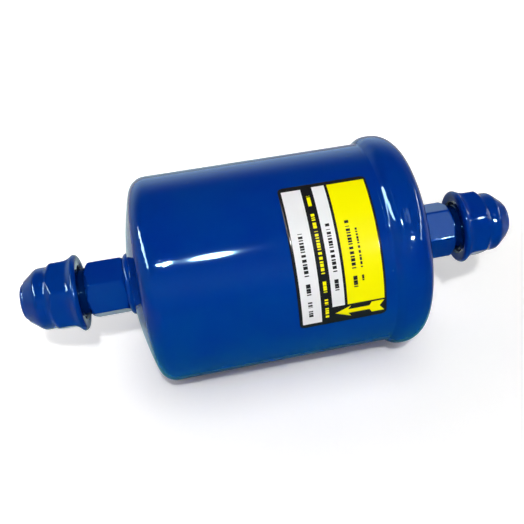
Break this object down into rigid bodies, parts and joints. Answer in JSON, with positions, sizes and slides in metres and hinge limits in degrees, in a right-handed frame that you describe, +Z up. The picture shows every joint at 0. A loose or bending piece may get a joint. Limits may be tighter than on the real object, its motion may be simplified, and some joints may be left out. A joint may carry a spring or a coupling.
{
  "type": "filter drier",
  "caption": "Refrigerant filter drier: painted steel shell with domed ends, flare fittings under hexagonal dust caps, a side label, and a spring-held desiccant core inside.",
  "frame": {"origin": "on the flow axis, midway between the noses of the two dust caps", "axes": "+X along the axis from outlet to inlet, +Z up, the label on the -Y side and a little above the middle"},
  "size_m": [0.185, 0.0804, 0.0804],
  "materials": {
    "blue_paint": "gloss",
    "label_film": "gloss",
    "seal_rubber": "matte",
    "bare_steel": "satin",
    "filter_fibre": "matte",
    "gasket_felt": "matte",
    "desiccant": "matte"
  },
  "bodies": {
    "drier": {"shell": "blue_paint", "end_cap": "blue_paint", "girth_weld": "blue_paint", "outlet_fitting": "blue_paint", "inlet_fitting": "blue_paint", "outlet_weld": "blue_paint", "inlet_weld": "blue_paint", "label": "label_film", "perforated_plate": "bare_steel", "wire_screen": "bare_steel", "filter_pad": "filter_fibre", "outlet_core_gasket": "gasket_felt", "core": "desiccant", "inlet_core_gasket": "gasket_felt", "spring_plate": "bare_steel", "core_spring": "bare_steel"},
    "outlet_cap": {"outlet_dust_cap": "blue_paint", "outlet_cap_seal": "seal_rubber"},
    "inlet_cap": {"inlet_dust_cap": "blue_paint", "inlet_cap_seal": "seal_rubber"}
  },
  "joints": [
    {"name": "outlet_cap_off", "type": "slide", "parent": "drier", "child": "outlet_cap", "axis": [-1, 0, 0], "range_m": [0, 0.06]},
    {"name": "inlet_cap_off", "type": "slide", "parent": "drier", "child": "inlet_cap", "axis": [1, 0, 0], "range_m": [0, 0.06]}
  ]
}
